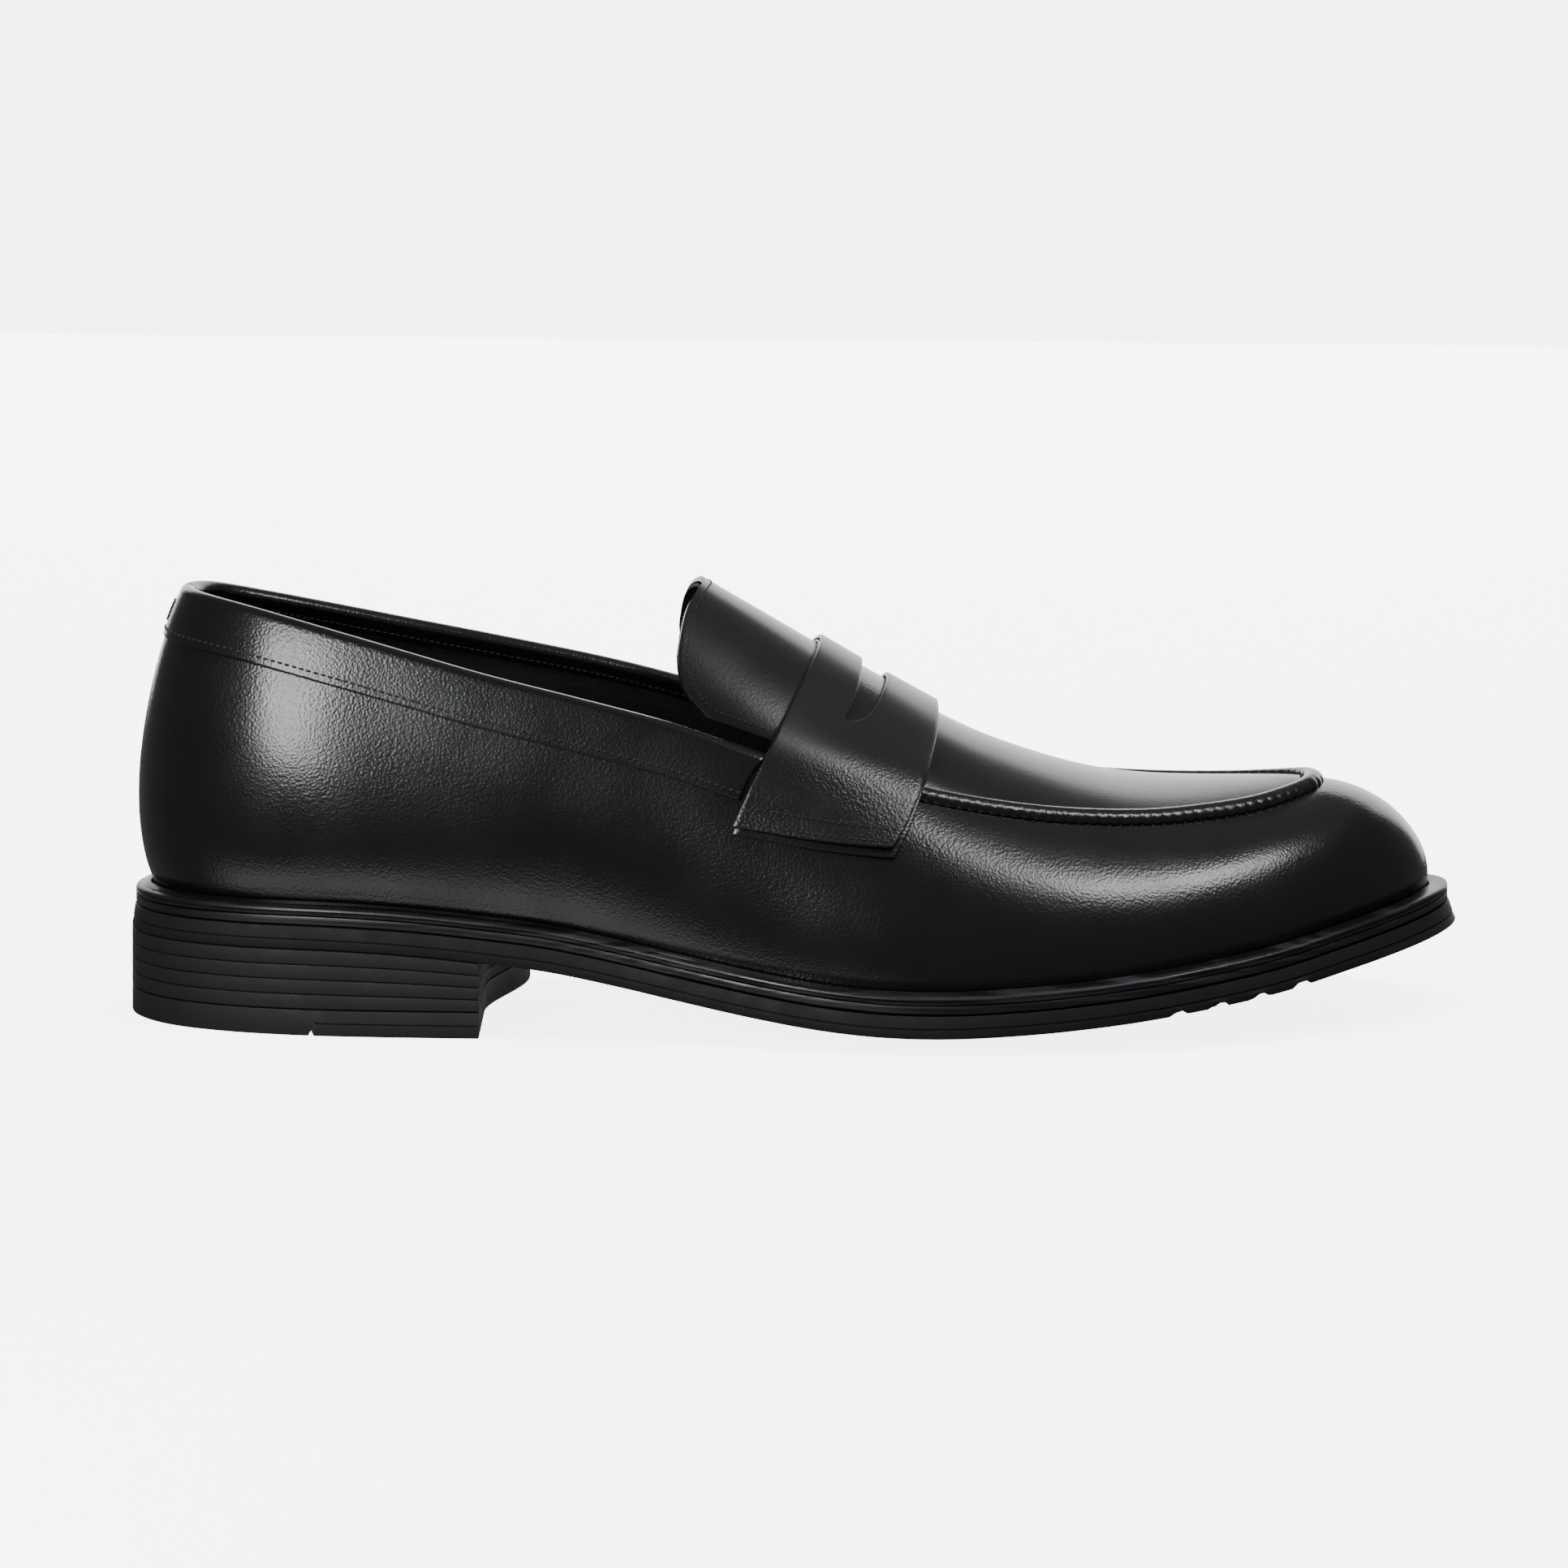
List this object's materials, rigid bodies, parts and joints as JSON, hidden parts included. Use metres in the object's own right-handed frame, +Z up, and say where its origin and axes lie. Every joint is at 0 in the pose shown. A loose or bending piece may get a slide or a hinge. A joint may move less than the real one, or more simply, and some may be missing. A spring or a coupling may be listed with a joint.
{
  "type": "penny loafer",
  "caption": "Low slip-on leather shoe for the right foot, with a raised apron seam, a slotted saddle strap, a short tongue, a welted sole and a stacked heel.",
  "frame": {"origin": "centre of the shoe's outer box at ground level", "axes": "+X towards the toe, +Y towards the inner side of the foot, +Z up"},
  "size_m": [0.3, 0.105, 0.0981],
  "materials": {
    "upper_leather": "polished pebbled calf",
    "lining_leather": "matt lining leather",
    "lining_cloth": "woven cotton drill",
    "stiffener": "thermoplastic sheet",
    "insole_board": "bonded leather board",
    "foam": "open cell foam",
    "steel": "plain steel",
    "cork": "granulated cork",
    "sole_edge": "painted, brushed by hand",
    "sole_rubber": "matt moulded rubber",
    "heel_rubber": "matt, ground edge"
  },
  "bodies": {
    "shoe": {"vamp_quarter": "upper_leather", "apron": "upper_leather", "moccasin_ridge": "upper_leather", "saddle_strap": "upper_leather", "strap_backing": "upper_leather", "collar_lateral": "upper_leather", "collar_medial": "upper_leather", "quarter_lining": "lining_leather", "vamp_lining": "lining_cloth", "apron_lining": "lining_cloth", "heel_counter": "stiffener", "toe_puff": "stiffener", "insole_board": "insole_board", "sock_lining": "lining_leather", "heel_pad": "foam", "steel_shank": "steel", "cork_filler": "cork", "seat_filler": "cork", "welt": "sole_edge", "midsole": "sole_edge", "outsole": "sole_rubber", "heel_lift_1": "heel_rubber", "heel_lift_2": "heel_rubber", "heel_lift_3": "heel_rubber", "heel_lift_4": "heel_rubber", "top_piece": "heel_rubber", "heel_nail_1": "steel", "heel_nail_2": "steel", "heel_nail_3": "steel", "heel_nail_4": "steel", "heel_nail_5": "steel"},
    "tongue": {"tongue": "upper_leather", "tongue_lining": "lining_leather"}
  },
  "joints": [
    {"name": "tongue_flex", "type": "hinge", "parent": "shoe", "child": "tongue", "pos_m": [0.0046, 0, 0.0842], "axis": [0, 1, 0], "range_deg": [0, 22], "stiffness_Nm_per_rad": 0.05}
  ]
}
